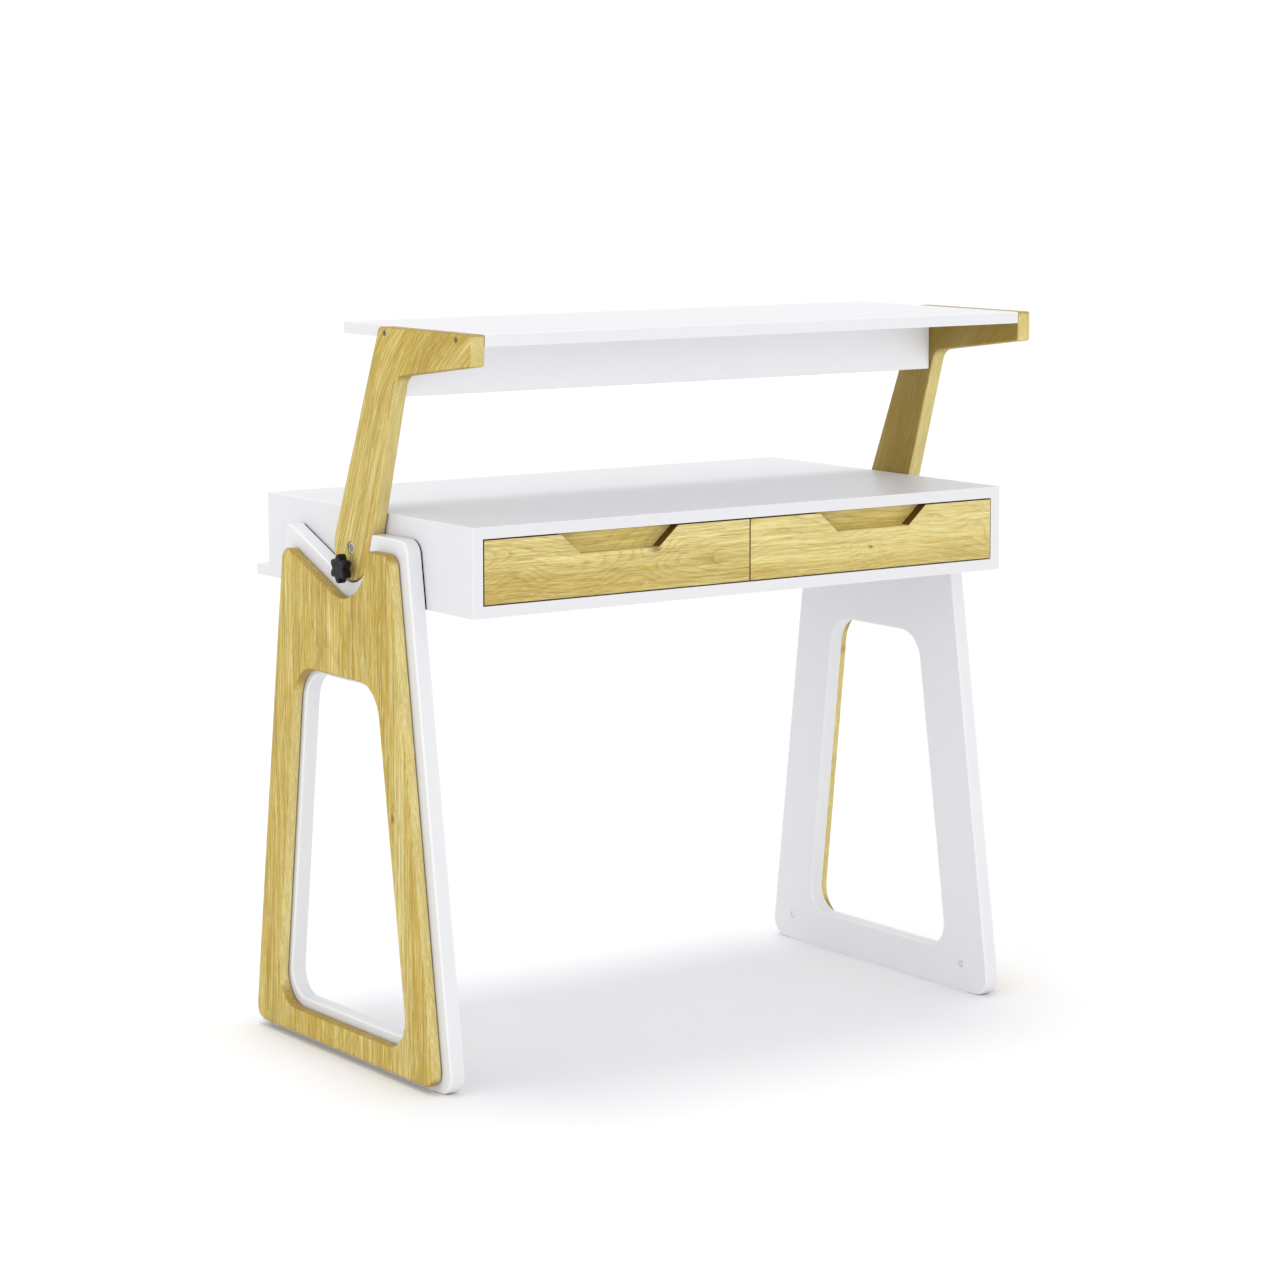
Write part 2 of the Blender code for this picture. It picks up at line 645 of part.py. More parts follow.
def hang_on(name, place, pieces, parent=None):
    """Parent moving pieces to an empty on their joint's axis, leaving them where they are."""
    empty = bpy.data.objects.new(name, None)
    empty.location = place
    parts.objects.link(empty)
    bpy.context.view_layer.update()
    for piece in pieces:
        piece.parent = empty
        piece.matrix_parent_inverse = empty.matrix_world.inverted()
    if parent is not None:
        empty.parent = parent
        empty.matrix_parent_inverse = parent.matrix_world.inverted()
    return empty


clear_scene()
parts = new_collection("tilting_shelf_desk")
cutters = new_collection("cutters")
lacquer = new_material("white_lacquer", (0.86, 0.86, 0.87), 0.45)
oak = new_material("light_oak", (0.63, 0.46, 0.17), 0.50)
ply = new_material("birch_ply", (0.70, 0.56, 0.36), 0.55)
cap = new_material("white_cap", (0.84, 0.84, 0.85), 0.40)
black = new_material("black_plastic", (0.015, 0.015, 0.017), 0.38)
steel = new_material("zinc_steel", (0.55, 0.56, 0.58), 0.35, metallic=1.0)
chrome = new_material("chrome", (0.75, 0.76, 0.78), 0.12, metallic=1.0)

build_box()
build_legs()
build_pivots()
tilt = hang_on("shelf_tilt_axis", (0.0, *PIVOT), build_shelf())
for side_name, side_sign in SIDES.items():
    knob_place = (side_sign * KNOB_OUT, STUD_Y, STUD_Z)
    hang_on("knob_axis_" + side_name, knob_place, build_knob(side_name, side_sign), tilt)
    drawer_place = (side_sign * INSIDE / 2, FRONT, FLOOR_OF_BOX)
    hang_on("drawer_axis_" + side_name, drawer_place, build_drawer(side_name, side_sign))
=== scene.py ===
"""Looks of the writing desk: oak, white lacquer, steel and moulded plastic on the CAD frame."""
import math

import bmesh
import bpy
from mathutils import Matrix, Vector


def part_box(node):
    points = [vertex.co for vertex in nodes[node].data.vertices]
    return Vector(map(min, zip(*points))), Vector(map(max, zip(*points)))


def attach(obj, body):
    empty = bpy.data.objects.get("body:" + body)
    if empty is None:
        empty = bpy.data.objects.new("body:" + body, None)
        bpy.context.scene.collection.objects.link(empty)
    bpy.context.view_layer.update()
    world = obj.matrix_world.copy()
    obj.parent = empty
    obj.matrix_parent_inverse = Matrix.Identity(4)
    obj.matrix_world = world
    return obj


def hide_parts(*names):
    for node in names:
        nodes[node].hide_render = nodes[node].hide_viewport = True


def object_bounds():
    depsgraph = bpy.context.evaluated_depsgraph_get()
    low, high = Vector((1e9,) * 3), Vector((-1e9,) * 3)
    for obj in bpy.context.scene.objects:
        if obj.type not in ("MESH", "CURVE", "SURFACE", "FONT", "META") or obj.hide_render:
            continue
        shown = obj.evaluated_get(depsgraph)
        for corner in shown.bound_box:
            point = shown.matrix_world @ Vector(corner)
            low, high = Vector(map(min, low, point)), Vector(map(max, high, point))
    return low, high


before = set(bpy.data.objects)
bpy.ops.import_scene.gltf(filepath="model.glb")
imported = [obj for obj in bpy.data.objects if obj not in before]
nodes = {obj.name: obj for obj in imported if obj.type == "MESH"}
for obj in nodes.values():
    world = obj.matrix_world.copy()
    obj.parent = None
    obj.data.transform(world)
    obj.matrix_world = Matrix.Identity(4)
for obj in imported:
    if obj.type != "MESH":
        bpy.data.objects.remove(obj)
cad_low, cad_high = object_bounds()

X, Y, Z = Vector((1, 0, 0)), Vector((0, 1, 0)), Vector((0, 0, 1))
SIDES = {"left": -1, "right": 1}
WELD = 0.00001              # points of a mesh closer than this are one point, in metres


# ---- node graphs ----------------------------------------------------------------------------
class Graph:
    """Writes one material's nodes as short expressions. Sockets and plain values both work."""

    SEED_STEP = (1.0, 1.7, 2.3)     # how far a seed of one moves the noise along each axis

    def __init__(self, name):
        self.material = bpy.data.materials.new(name)
        self.material.use_nodes = True
        self.tree = self.material.node_tree
        self.tree.nodes.clear()
        self.shader = self.add("ShaderNodeBsdfPrincipled")
        output = self.add("ShaderNodeOutputMaterial")
        self.tree.links.new(self.shader.outputs[0], output.inputs["Surface"])

    def add(self, kind, **settings):
        node = self.tree.nodes.new(kind)
        for key, value in settings.items():
            setattr(node, key, value)
        return node

    def put(self, socket, value):
        if isinstance(value, bpy.types.NodeSocket):
            self.tree.links.new(value, socket)
        else:
            socket.default_value = value

    def math(self, operation, *values, clamp=False):
        node = self.add("ShaderNodeMath", operation=operation, use_clamp=clamp)
        for socket, value in zip(node.inputs, values):
            self.put(socket, value)
        return node.outputs[0]

    def vector(self, operation, *values):
        node = self.add("ShaderNodeVectorMath", operation=operation)
        for socket, value in zip(node.inputs, values):
            self.put(socket, value)
        return node.outputs["Value" if operation in ("DOT_PRODUCT", "LENGTH") else "Vector"]

    def position(self, centre=(0, 0, 0), turn=(0, 0, 0)):
        """The surface point in the frame of a board: its place and its Euler turn."""
        coords = self.add("ShaderNodeTexCoord").outputs["Object"]
        node = self.add("ShaderNodeMapping", vector_type="TEXTURE")
        self.put(node.inputs["Vector"], coords)
        node.inputs["Location"].default_value = centre
        node.inputs["Rotation"].default_value = turn
        return node.outputs[0]

    def split(self, vector):
        node = self.add("ShaderNodeSeparateXYZ")
        self.put(node.inputs[0], vector)
        return node.outputs[0], node.outputs[1], node.outputs[2]

    def join(self, x, y, z):
        node = self.add("ShaderNodeCombineXYZ")
        for socket, value in zip(node.inputs, (x, y, z)):
            self.put(socket, value)
        return node.outputs[0]

    def noise(self, vector, scale, seed, detail=2.0, roughness=0.5):
        """Noise from 0 to 1. The scale is in cycles a metre, one for each axis or one for all."""
        cycles = (scale,) * 3 if isinstance(scale, float) else scale
        offset = tuple(step * seed for step in self.SEED_STEP)
        shifted = self.vector("MULTIPLY_ADD", vector, cycles, offset)
        node = self.add("ShaderNodeTexNoise", normalize=True)
        self.put(node.inputs["Vector"], shifted)
        node.inputs["Scale"].default_value = 1.0
        node.inputs["Detail"].default_value = detail
        node.inputs["Roughness"].default_value = roughness
        return node.outputs["Fac"]

    def ramp(self, factor, stops):
        """A grey that runs between stops, each a (place, grey) pair."""
        node = self.add("ShaderNodeValToRGB")
        elements = node.color_ramp.elements
        while len(elements) < len(stops):
            elements.new(0.5)
        for element, (place, grey) in zip(elements, stops):
            element.position = place
            element.color = (grey, grey, grey, 1.0)
        self.put(node.inputs[0], factor)
        return node.outputs[0]

    def mix(self, factor, first, second, blend="MIX"):
        """A colour between two others. The node's colour sockets have these numbers."""
        colour_a, colour_b, colour_out = 6, 7, 2
        node = self.add("ShaderNodeMix", data_type="RGBA", blend_type=blend)
        self.put(node.inputs[0], factor)
        for i, value in ((colour_a, first), (colour_b, second)):
            self.put(node.inputs[i], (*value, 1.0) if isinstance(value, tuple) else value)
        return node.outputs[colour_out]

    def span(self, value, low, high):
        """A 0 to 1 value, stretched to run from low to high."""
        return self.math("MULTIPLY_ADD", value, high - low, low)

    def bump(self, height, depth, strength):
        """A normal for a surface whose relief is this deep, in metres."""
        node = self.add("ShaderNodeBump")
        node.inputs["Strength"].default_value = strength
        node.inputs["Distance"].default_value = depth
        self.put(node.inputs["Height"], height)
        return node.outputs[0]

    def surface(self, colour, roughness, normal, **fixed):
        """The finished material. Fixed are shader inputs that are the same all over."""
        self.put(self.shader.inputs["Base Color"], colour)
        self.put(self.shader.inputs["Roughness"], roughness)
        self.put(self.shader.inputs["Normal"], normal)
        for key, value in fixed.items():
            self.shader.inputs[key.replace("_", " ")].default_value = value
        return self.material


# ---- oak ------------------------------------------------------------------------------------
OAK_LIGHT = (0.740, 0.620, 0.235)
OAK_MID = (0.570, 0.425, 0.085)
OAK_DEEP = (0.455, 0.310, 0.050)
OAK_CREAM = (0.790, 0.690, 0.320)
OAK_PALE = (0.800, 0.710, 0.345)
OAK_OCHRE = (0.430, 0.275, 0.028)
OAK_LINE = (0.300, 0.165, 0.014)
OAK_PORE = (0.180, 0.100, 0.018)
OAK_FLECK = (0.860, 0.750, 0.420)
OAK_KNOT = (0.130, 0.060, 0.015)
# painted shade for a board's shaded broad face
OAK_FACE_SHADE = (0.220, 0.135, 0.014)
OAK_END = (0.290, 0.175, 0.030)
# painted shade on the drawer fronts' end faces
OAK_END_PAINTED_SHADE = (0.115, 0.048, 0.003)
# painted shade round a drawer front's face
OAK_RIM_SHADE = (0.085, 0.036, 0.006)
# painted shade in the joint between a facing and its leg
JOINT_SHADE = (0.045, 0.028, 0.012)

RING = 0.0046               # a year's growth, in metres
SWAY = 0.120                # how far the pith wanders across a board
LIFT = 0.110                # and through it
RIPPLE = 0.008              # how far a ring strays from a circle
KNOT_SQUEEZE = 0.55         # distances along the grain count for less round a knot
KNOT_REACH = 2.6            # the rings bend within this many radii of a knot
KNOT_BEND = 3.2 * RING      # by this much
SWEEP_TONE = 5.0            # how fast the colour turns golden where the grain curves aside
RIM_WIDTH = 0.0007          # painted shade round a panel's rim starts this far from its edge
RIM_FADE = 0.0004           # and is full this much further out
SEAM_WIDTH = 0.0022         # painted shade reaches this far from a joint

# How strongly the early wood shows from the start of a year's ring to its end.
RING_PROFILE = [(0.0, 0.25), (0.08, 1.0), (0.22, 0.45), (0.55, 0.05), (1.0, 0.0)]

# The layers of the wood's pattern: cycles a metre along and across the grain, what is added to the
# board's seed, and the noise's detail and roughness.
LAYERS = {
    "sway": (1.5, 0.6, 0.0, 1.5, 0.5),
    "lift": (2.1, 0.8, 31.0, 2.0, 0.5),
    "ripple": (11.0, 30.0, 7.0, 3.0, 0.5),
    "slow": (0.7, 15.0, 19.0, 2.0, 0.5),
    "broad": (1.0, 26.0, 3.0, 3.0, 0.5),
    "bands": (1.9, 150.0, 9.0, 3.0, 0.6),
    "grain": (15.0, 250.0, 23.0, 3.0, 0.7),
    "fibres": (9.0, 640.0, 5.0, 3.0, 0.65),
    "dashes": (26.0, 700.0, 15.0, 1.0, 0.5),
    "flecks": (60.0, 300.0, 13.0, 1.0, 0.5),
    "pores": (40.0, 1500.0, 11.0, 1.0, 0.5),
}


def board_turn(along, across):
    """Euler turn of a board whose grain runs along one direction and whose face spans another."""
    return Matrix((along, across, along.cross(across))).transposed().to_euler()


def growth_rings(g, x, y, z, wood, pith, knots):
    """How much early wood shows at a point, and how dark a knot's core makes it.

    The trunk's centre wanders along the board, and that turns straight rings into arches. The
    rings also bend round each knot.
    """
    off_y = g.math("MULTIPLY_ADD", wood["sway"], SWAY, g.math("SUBTRACT", y, pith[0] + SWAY / 2))
    off_z = g.math("MULTIPLY_ADD", wood["lift"], LIFT, g.math("SUBTRACT", z, pith[1] + LIFT / 2))
    radius = g.vector("LENGTH", g.join(0.0, off_y, off_z))
    radius = g.math("MULTIPLY_ADD", wood["ripple"], RIPPLE, radius)
    core = None
    for knot_x, knot_y, size, darkness in knots:
        far_x = g.math("MULTIPLY", g.math("SUBTRACT", x, knot_x), KNOT_SQUEEZE)
        far = g.vector("LENGTH", g.join(far_x, g.math("SUBTRACT", y, knot_y), 0.0))
        fall = g.math("POWER", g.math("DIVIDE", far, KNOT_REACH * size), 2.0)
        near = g.math("EXPONENT", g.math("MULTIPLY", fall, -1.0))
        radius = g.math("MULTIPLY_ADD", near, KNOT_BEND, radius)
        spot = g.math("SUBTRACT", 1.0, g.math("DIVIDE", far, size), clamp=True)
        spot = g.math("MULTIPLY", spot, darkness)
        core = spot if core is None else g.math("MAXIMUM", core, spot)
    phase = g.math("FRACT", g.math("DIVIDE", radius, RING))
    return g.ramp(phase, RING_PROFILE), core


def coarse_colour(g, wood, tone, pale, streak):
    """Broad bands of light and golden wood, with slow, ochre and short streaks over them."""
    tint = g.math("ADD", g.span(wood["broad"], -0.80, 1.65), tone, clamp=True)
    colour = g.mix(pale, g.mix(tint, OAK_LIGHT, OAK_MID), OAK_PALE)
    ochre = g.ramp(wood["bands"], [(0.42, 0.0), (0.68, 1.0)])
    for share, streak_colour in (
        (g.ramp(wood["slow"], [(0.50, 0.0), (0.64, 0.75 * streak)]), OAK_DEEP),
        (g.ramp(wood["slow"], [(0.34, 0.42 * streak), (0.45, 0.0)]), OAK_CREAM),
        (g.math("MULTIPLY", ochre, 0.55 * streak), OAK_OCHRE),
        (g.ramp(wood["grain"], [(0.50, 0.0), (0.68, 0.50 * streak)]), OAK_OCHRE),
        (g.ramp(wood["grain"], [(0.32, 0.50 * streak), (0.48, 0.0)]), OAK_PALE),
    ):
        colour = g.mix(share, colour, streak_colour)
    return colour


def fine_colour(g, colour, wood, early, pore, figure, streak):
    """Growth rings, long fibres, dark dashes, open pores and light flecks over the streaks."""
    ring = g.math("MULTIPLY", g.span(wood["bands"], 0.25, 0.95), 0.62 * figure)
    colour = g.mix(g.math("MULTIPLY", early, ring), colour, OAK_LINE)
    light = g.span(wood["fibres"], 1.0 - 0.70 * streak, 1.0 + 0.70 * streak)
    colour = g.mix(1.0, colour, g.join(light, light, light), "MULTIPLY")
    dash = g.ramp(wood["dashes"], [(0.60, 0.0), (0.72, 1.0)])
    colour = g.mix(g.math("MULTIPLY", dash, 0.50 * streak), colour, OAK_LINE)
    colour = g.mix(g.math("MULTIPLY", pore, g.span(early, 0.12, 0.55)), colour, OAK_PORE)
    fleck = g.ramp(wood["flecks"], [(0.64, 0.0), (0.74, 1.0)])
    return g.mix(g.math("MULTIPLY", fleck, 0.30), colour, OAK_FLECK)


def colour_faces(g, colour, along, across, pale_edges, end_grain, end_colour, dark_face):
    """Lighter long narrow edges, darker ends, and painted shade on one broad face."""
    normal = g.add("ShaderNodeTexCoord").outputs["Normal"]
    # The long narrow edges are made lighter.
    if pale_edges:
        sideways = g.math("ABSOLUTE", g.vector("DOT_PRODUCT", normal, tuple(across)))
        lighter_edges = g.math("MULTIPLY", g.ramp(sideways, [(0.55, 0.0), (0.90, 1.0)]), pale_edges)
        colour = g.mix(lighter_edges, colour, OAK_PALE)
    # Across the ends of the fibres the wood drinks its oil and turns darker. On the drawer fronts
    # the end colour is painted shade on their end faces, the walls of the finger cut-out among
    # them.
    cut_across = g.math("ABSOLUTE", g.vector("DOT_PRODUCT", normal, tuple(along)))
    ends = g.math("MULTIPLY", g.ramp(cut_across, [(0.30, 0.0), (0.62, 1.0)]), end_grain)
    colour = g.mix(ends, colour, end_colour)
    # Painted shade: one broad face is darkened towards a deep brown.
    if dark_face is not None:
        side, amount = dark_face
        towards = g.vector("DOT_PRODUCT", normal, tuple(side * along.cross(across)))
        face_shade = g.ramp(towards, [(0.80, 0.0), (0.98, 1.0)])
        colour = g.mix(g.math("MULTIPLY", face_shade, amount), colour, OAK_FACE_SHADE)
    return colour


def paint_rim_shade(g, colour, x, y, half_size):
    """A thin line of painted shade round a panel's face, for the shade of the gap round it."""
    near_end = g.math("SUBTRACT", g.math("ABSOLUTE", x), half_size[0] - RIM_WIDTH)
    near_side = g.math("SUBTRACT", g.math("ABSOLUTE", y), half_size[1] - RIM_WIDTH)
    edge = g.math("DIVIDE", g.math("MAXIMUM", near_end, near_side), RIM_FADE, clamp=True)
    return g.mix(g.math("MULTIPLY", edge, 0.92), colour, OAK_RIM_SHADE)


def paint_seam_shade(g, colour, z, seam):
    """Painted shade along the joint between a board and its neighbour."""
    away = g.math("ABSOLUTE", g.math("SUBTRACT", z, seam))
    seam_shade = g.math("SUBTRACT", 1.0, g.math("DIVIDE", away, SEAM_WIDTH), clamp=True)
    return g.mix(g.ramp(seam_shade, [(0.0, 0.0), (0.55, 0.92)]), colour, JOINT_SHADE)


def oak(name, centre, along, across, pith, seed, knots=(), tone=0.0, figure=1.0, streak=1.0,
        pale=0.0, pale_edges=0.0, end_grain=0.7, end_colour=OAK_END, seam=None, dark_face=None,
        sweep=None, rim=None):
    """Oak sawn from a log whose pith lies at (across, through) from the board's centre.

    Knots are (along, across, radius, darkness), and one with no darkness only bends the rings. Tone
    moves the colour towards golden, figure sets how strongly the growth rings show, and streak how
    much the fibres vary. Pale sets how much of the light sapwood shows all over, and pale_edges
    how much lighter the board's long narrow edges are. Seam is the depth through the board where it
    meets a neighbour, with painted shade along it. The shaded face, given as (side, amount), gets
    painted shade on the broad face on that side.
    Sweep is (start, bend): past that place the grain curves aside. Rim is the half size of a panel
    with a thin line of painted shade round its edges.
    """
    g = Graph(name)
    p = g.position(centre, board_turn(along, across))
    x, y, z = g.split(p)
    if sweep is not None:
        start, bend = sweep
        past = g.math("MAXIMUM", g.math("SUBTRACT", x, start), 0.0)
        y = g.math("MULTIPLY_ADD", g.math("MULTIPLY", past, past), bend, y)
        p = g.join(x, y, z)
        tone = g.math("MULTIPLY_ADD", past, SWEEP_TONE, tone)
    wood = {layer: g.noise(p, (long, cross, cross), seed + more, detail, roughness)
            for layer, (long, cross, more, detail, roughness) in LAYERS.items()}
    early, core = growth_rings(g, x, y, z, wood, pith, knots)
    pore = g.ramp(wood["pores"], [(0.34, 1.0), (0.46, 0.0)])

    colour = coarse_colour(g, wood, tone, pale, streak)
    colour = fine_colour(g, colour, wood, early, pore, figure, streak)
    if knots:
        colour = g.mix(g.ramp(core, [(0.0, 0.0), (0.5, 0.55), (1.0, 0.9)]), colour, OAK_KNOT)
    colour = colour_faces(g, colour, along, across, pale_edges, end_grain, end_colour, dark_face)
    if rim is not None:
        colour = paint_rim_shade(g, colour, x, y, rim)
    if seam is not None:
        colour = paint_seam_shade(g, colour, z, seam)

    roughness = g.math("ADD", g.span(wood["fibres"], 0.44, 0.60), g.math("MULTIPLY", pore, 0.12))
    height = g.math("SUBTRACT", g.math("MULTIPLY", wood["fibres"], 0.35), pore)
    height = g.math("SUBTRACT", height, g.math("MULTIPLY", early, 0.25))
    relief = g.bump(height, depth=0.00012, strength=0.6)
    return g.surface(colour, roughness, relief, Specular_IOR_Level=0.24)


# ---- other materials ------------------------------------------------------------------------
PLY_LAYER = 0.0024          # a dark and a light layer of birch ply together
BLACK = (0.003, 0.003, 0.004)
WHITE_CAP = (0.70, 0.70, 0.71)
ZINC = (0.60, 0.61, 0.63)
DARK_ZINC = (0.20, 0.20, 0.19)
CHROME = (0.52, 0.53, 0.55)


def lacquer(name, seed, level=0.81, worn_highlit=False):
    """Sprayed white lacquer: a fine orange peel, and on rubbed edges a slightly polished look with
    lighter patches.
    """
    g = Graph(name)
    p = g.position()
    cloud = g.noise(p, 2.4, seed, detail=3.0)
    peel = g.noise(p, 420.0, seed + 2.0)
    grit = g.noise(p, 2600.0, seed + 4.0, detail=0.0)
    low = (level * 0.985, level * 0.985, level * 1.005)
    high = (level * 1.010, level * 1.010, level * 1.028)
    dust = g.ramp(grit, [(0.80, 0.0), (0.88, 0.35)])
    colour = g.mix(dust, g.mix(cloud, low, high), (level * 0.90,) * 3)
    if worn_highlit:
        rub = g.noise(p, 55.0, seed + 6.0)
        colour = g.mix(g.ramp(rub, [(0.55, 0.0), (0.75, 0.5)]), colour, (level * 1.04,) * 3)
        roughness = g.span(rub, 0.24, 0.42)
    else:
        roughness = g.span(cloud, 0.36, 0.50)
    relief = g.bump(peel, depth=0.00006, strength=0.5)
    return g.surface(colour, roughness, relief, Specular_IOR_Level=0.45, Coat_Weight=0.10,
                     Coat_Roughness=0.28)


def birch_ply(name, along, across, seed):
    """Rotary-cut birch ply: a soft figure on its faces and thin layers on its edges."""
    g = Graph(name)
    p = g.position((0, 0, 0), board_turn(along, across))
    z = g.split(p)[2]
    wave = g.noise(p, (1.4, 9.0, 9.0), seed)
    fibre = g.noise(p, (16.0, 420.0, 420.0), seed + 4.0)
    colour = g.mix(wave, (0.70, 0.545, 0.345), (0.80, 0.665, 0.470))
    light = g.span(fibre, 0.90, 1.10)
    colour = g.mix(1.0, colour, g.join(light, light, light), "MULTIPLY")
    normal = g.add("ShaderNodeTexCoord").outputs["Normal"]
    flat = g.math("ABSOLUTE", g.vector("DOT_PRODUCT", normal, tuple(along.cross(across))))
    on_edge = g.math("SUBTRACT", 1.0, flat, clamp=True)
    layer = g.math("FRACT", g.math("DIVIDE", z, PLY_LAYER))
    dark_layer = g.ramp(layer, [(0.44, 0.0), (0.50, 1.0), (0.94, 1.0), (1.0, 0.0)])
    mark = g.math("MULTIPLY", g.math("MULTIPLY", dark_layer, on_edge), 0.55)
    colour = g.mix(mark, colour, (0.38, 0.245, 0.125))
    height = g.math("ADD", fibre, g.math("MULTIPLY", layer, on_edge))
    relief = g.bump(height, depth=0.00008, strength=0.4)
    return g.surface(colour, g.span(fibre, 0.48, 0.62), relief)


def moulded_plastic(name, seed, colour=BLACK, roughness=(0.34, 0.48)):
    """Moulded plastic with a spark-eroded grain and a little handling shine."""
    g = Graph(name)
    p = g.position()
    eroded = g.noise(p, 1900.0, seed)
    handled = g.noise(p, 70.0, seed + 3.0)
    lighter = tuple(1.5 * value + 0.002 for value in colour)
    shade = g.mix(g.ramp(handled, [(0.45, 0.0), (0.75, 0.6)]), colour, lighter)
    relief = g.bump(eroded, depth=0.00005, strength=0.7)
    return g.surface(shade, g.span(handled, *roughness), relief, Specular_IOR_Level=0.22)


def turned_metal(name, y, z, colour, roughness):
    """Metal turned about a line along X: faint rings and a dulled patch."""
    g = Graph(name)
    p = g.position((0.0, y, z))
    _, across, up = g.split(p)
    radius = g.vector("LENGTH", g.join(0.0, across, up))
    rings = g.noise(g.join(radius, 0.0, 0.0), (2600.0, 1.0, 1.0), 2.0, detail=3.0, roughness=0.7)
    dull = g.noise(p, 190.0, 4.0, detail=3.0)
    tone = g.mix(dull, tuple(0.86 * value for value in colour), colour)
    rough = g.math("ADD", g.span(dull, *roughness), g.math("MULTIPLY", rings, 0.05))
    relief = g.bump(rings, depth=0.00002, strength=0.6)
    return g.surface(tone, rough, relief, Metallic=1.0)


def rolled_steel(name, along, seed):
    """Zinc-plated strip, brushed along the runner, with the plating's faint cloudiness."""
    g = Graph(name)
    p = g.position((0, 0, 0), board_turn(along, Z))
    brushed = g.noise(p, (5.0, 1900.0, 1900.0), seed)
    cloud = g.noise(p, 30.0, seed + 3.0, detail=3.0)
    colour = g.mix(cloud, (0.47, 0.48, 0.50), (0.62, 0.63, 0.64))
    relief = g.bump(brushed, depth=0.00002, strength=0.6)
    return g.surface(colour, g.span(cloud, 0.24, 0.40), relief, Metallic=1.0)


def pale_floor(name):
    """Matt paper sweep, a little uneven."""
    g = Graph(name)
    p = g.position()
    cloud = g.noise(p, 0.7, 3.0)
    fine = g.noise(p, 160.0, 5.0)
    colour = g.mix(cloud, (0.893, 0.893, 0.898), (0.905, 0.905, 0.910))
    relief = g.bump(fine, depth=0.0001, strength=0.2)
    return g.surface(colour, g.span(cloud, 0.72, 0.80), relief, Specular_IOR_Level=0.2)


# ---- eased boards ---------------------------------------------------------------------------
SHARP = math.radians(35)            # edges that turn by more than this are eased
FLAT_BOARD = math.radians(0.4)      # faces of a board that turn by less than this are made one
FLAT_NODE = math.radians(0.3)       # and the same for a node that keeps its CAD mesh
ROUND = 0.5                         # profile of a bevel that is part of a circle
ONLY_LARGE_FACES = 100              # weight with which a board's large faces set its shading
HOLE_ROOM = 0.002                   # a screw hole's rim is this near to its screw
FLOOR_ROOM = 0.0005
FASTENERS = [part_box(name) for name in nodes if name.startswith(
    ("leg_bolt", "facing_screw", "pivot_bolt", "shelf_screw", "knob_stud"))]


def middle(name):
    low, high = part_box(name)
    return (low + high) / 2


def reach_sideways(name):
    """How far a node's near and far end are from the desk's middle plane."""
    low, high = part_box(name)
    return sorted((abs(low.x), abs(high.x)))


def add_object(name, mesh, body, stands_for):
    """A new piece that rides on a body and is shown in place of some CAD nodes."""
    piece = bpy.data.objects.new(name, mesh)
    bpy.context.scene.collection.objects.link(piece)
    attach(piece, body)
    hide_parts(*stands_for)
    return piece


def mesh_of(name, shape):
    mesh = bpy.data.meshes.new(name)
    shape.to_mesh(mesh)
    shape.free()
    return mesh


def beside_fastener(point):
    """Whether a point lies on the rim of a hole that a bolt or screw sits in."""
    return any(all(low[i] - HOLE_ROOM < point[i] < high[i] + HOLE_ROOM for i in range(3))
               for low, high in FASTENERS)


def stands_on(edge):
    """Whether a board stands on the floor on this edge."""
    return all(vert.co.z < cad_low.z + FLOOR_ROOM for vert in edge.verts)


def keep_faces_flat(piece):
    """Shade the large faces flat, so that only the eased edges between them look round."""
    weighted = piece.modifiers.new("Flat faces stay flat", "WEIGHTED_NORMAL")
    weighted.weight = ONLY_LARGE_FACES


def ease(shape, width, segments):
    """Round over a board's edges, but not those it stands on or the rims of its screw holes."""
    for face in shape.faces:
        face.material_index = 0
    bmesh.ops.remove_doubles(shape, verts=shape.verts, dist=WELD)
    bmesh.ops.dissolve_limit(shape, angle_limit=FLAT_BOARD, verts=shape.verts, edges=shape.edges)
    edges = [edge for edge in shape.edges
             if len(edge.link_faces) == 2 and edge.calc_face_angle() > SHARP and not stands_on(edge)
             and not beside_fastener((edge.verts[0].co + edge.verts[1].co) / 2)]
    bmesh.ops.bevel(shape, geom=edges, offset=width, offset_type="OFFSET", segments=segments,
                    profile=ROUND, affect="EDGES", clamp_overlap=False, material=1)
    for face in shape.faces:
        face.smooth = True


def eased_piece(name, shape, materials, body, stands_for):
    """Make a piece of an eased shape. Its second material is for the rounded edges."""
    mesh = mesh_of(name, shape)
    for material in materials:
        mesh.materials.append(material)
    keep_faces_flat(add_object(name, mesh, body, stands_for))


def ease_board(name, body, width, material, edge=None, segments=4):
    """Stand-in for a CAD board with rounded-over edges, made from the board's own mesh."""
    shape = bmesh.new()
    shape.from_mesh(nodes[name].data)
    ease(shape, width, segments)
    eased_piece(name + "_eased", shape, (material, edge or material), body, [name])


def dress(name, material, width=0.0, segments=2):
    """Give a CAD node its material, and where it helps, slightly eased edges."""
    node = nodes[name]
    node.data.materials.clear()
    node.data.materials.append(material)
    if not width:
        return
    weld = node.modifiers.new("Weld", "WELD")
    weld.merge_threshold = WELD
    merge = node.modifiers.new("Merge flat faces", "DECIMATE")
    merge.decimate_type = "DISSOLVE"
    merge.angle_limit = FLAT_NODE
    bevel = node.modifiers.new("Eased edges", "BEVEL")
    bevel.width = width
    bevel.segments = segments
    bevel.limit_method = "ANGLE"
    bevel.angle_limit = SHARP
    bevel.loop_slide = False
    keep_faces_flat(node)


# ---- white parts ----------------------------------------------------------------------------
CARCASS = ("carcass_top", "carcass_bottom", "carcass_side_left", "carcass_side_right")
